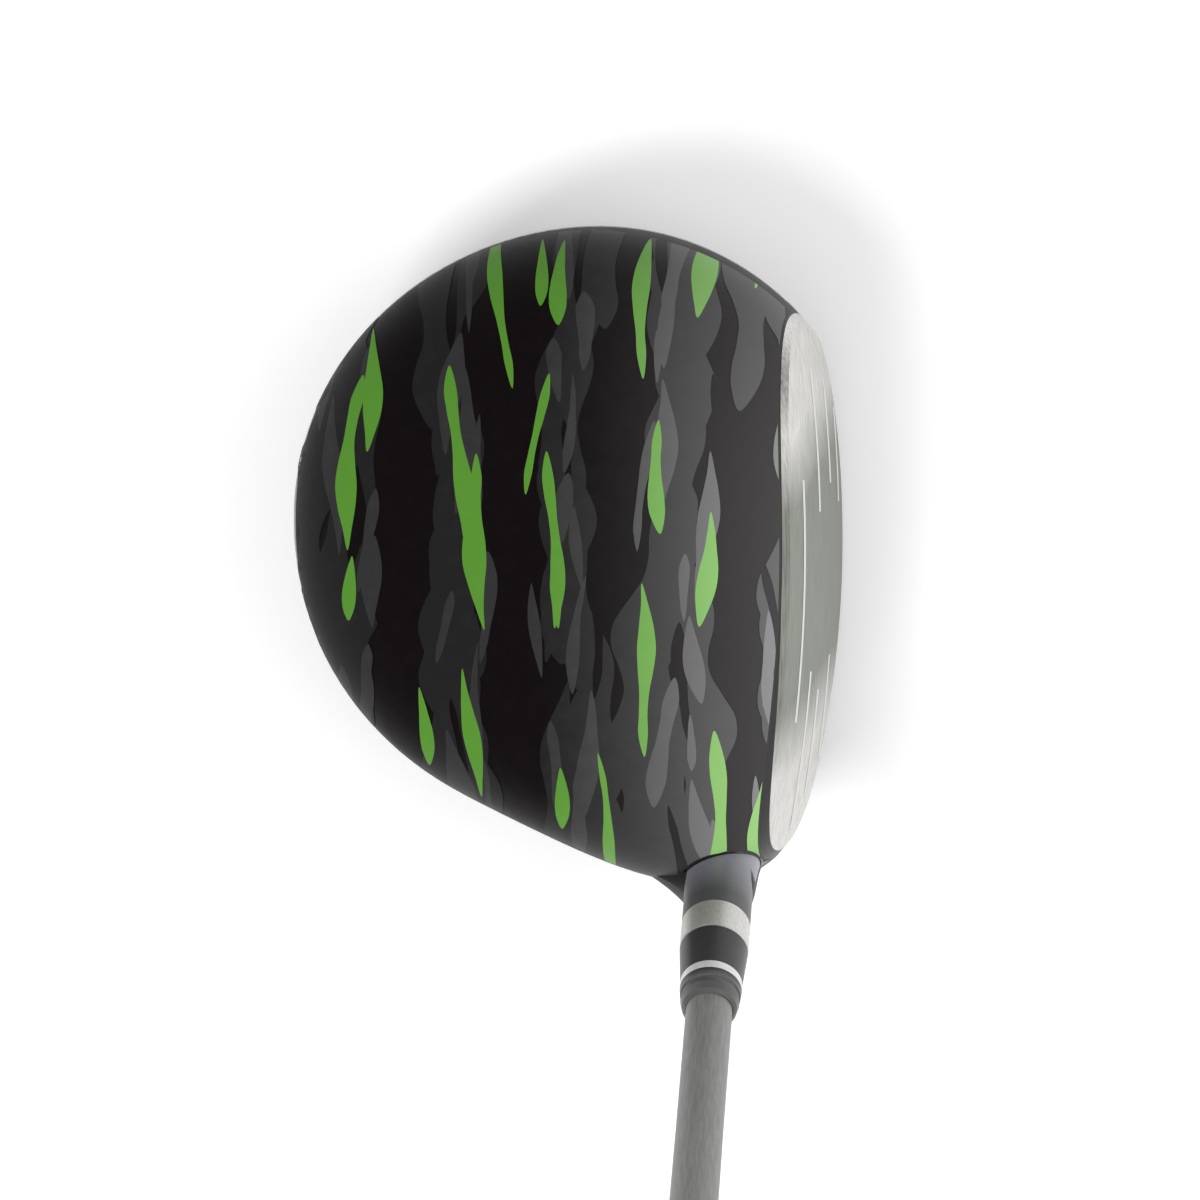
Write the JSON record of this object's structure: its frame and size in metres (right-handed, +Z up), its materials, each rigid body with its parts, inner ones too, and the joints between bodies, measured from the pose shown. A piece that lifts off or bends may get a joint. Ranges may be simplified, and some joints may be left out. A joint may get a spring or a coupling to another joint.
{
  "type": "golf driver",
  "caption": "Left-handed golf driver: hollow domed head with a dark striped crown wrap, bare metal face, adapter sleeve, ferrule, tapered shaft and rubber grip.",
  "frame": {"origin": "middle of the flat rest pad on the underside of the sole, on the ground plane", "axes": "+X along the target line, out of the face; +Y from heel to toe; +Z up; the shaft rises toward -Y at the 58 degree lie"},
  "size_m": [0.103, 0.7076, 0.976],
  "materials": {
    "painted_body": "gloss",
    "crown_vinyl": "gloss",
    "face_metal": "brushed",
    "score_paint": "matte",
    "bare_metal": "brushed",
    "collar_metal": "brushed",
    "black_plastic": "gloss",
    "trim_chrome": "polished",
    "shaft_paint": "satin",
    "grip_rubber": "matte",
    "tape_paper": "matte",
    "screw_steel": "satin",
    "weight_metal": "satin",
    "inner_plastic": "matte",
    "badge_metal": "satin"
  },
  "bodies": {
    "club": {"shaft": "shaft_paint", "adapter_sleeve": "collar_metal", "ferrule": "black_plastic", "ferrule_ring": "trim_chrome", "tip_plug": "inner_plastic", "grip_tape": "tape_paper", "grip": "grip_rubber", "grip_cap": "grip_rubber"},
    "head": {"sole_shell": "painted_body", "crown_shell": "painted_body", "face_plate": "face_metal", "hosel_tube": "painted_body", "crown_wrap": "crown_vinyl", "hot_melt_pad": "inner_plastic", "sole_badge": "badge_metal", "rear_weight_port": "bare_metal", "toe_weight_port": "bare_metal", "hosel_washer": "bare_metal", "screw_retainer": "inner_plastic"},
    "hosel_screw": {"hosel_screw": "screw_steel"},
    "rear_weight": {"rear_weight": "weight_metal"},
    "rear_weight_screw": {"rear_weight_screw": "screw_steel"},
    "toe_weight": {"toe_weight": "weight_metal"},
    "toe_weight_screw": {"toe_weight_screw": "screw_steel"}
  },
  "joints": [
    {"name": "head_release", "type": "slide", "parent": "club", "child": "head", "axis": [0, 0.5299, -0.848], "range_m": [0, 0.045]},
    {"name": "hosel_screw_turn", "type": "hinge", "parent": "head", "child": "hosel_screw", "pos_m": [0.0245, -0.03866, 0.01866], "axis": [0, 0.5299, -0.848], "continuous": true},
    {"name": "rear_weight_lift", "type": "slide", "parent": "head", "child": "rear_weight", "axis": [-0.4996, 0.0006, -0.8663], "range_m": [0, 0.0081]},
    {"name": "rear_weight_screw_turn", "type": "hinge", "parent": "rear_weight", "child": "rear_weight_screw", "pos_m": [-0.043, 0.008, 0.0096], "axis": [-0.4996, 0.0006, -0.8663], "range_deg": [0, 3600]},
    {"name": "toe_weight_lift", "type": "slide", "parent": "head", "child": "toe_weight", "axis": [0.0209, 0.3324, -0.9429], "range_m": [0, 0.0081]},
    {"name": "toe_weight_screw_turn", "type": "hinge", "parent": "toe_weight", "child": "toe_weight_screw", "pos_m": [0.006, 0.046, 0.00459], "axis": [0.0209, 0.3324, -0.9429], "range_deg": [0, 3600]}
  ],
  "couplings": [
    {"joint": "rear_weight_lift", "follows": "rear_weight_screw_turn", "m_per_rad": 0.00012732},
    {"joint": "toe_weight_lift", "follows": "toe_weight_screw_turn", "m_per_rad": 0.00012732}
  ]
}
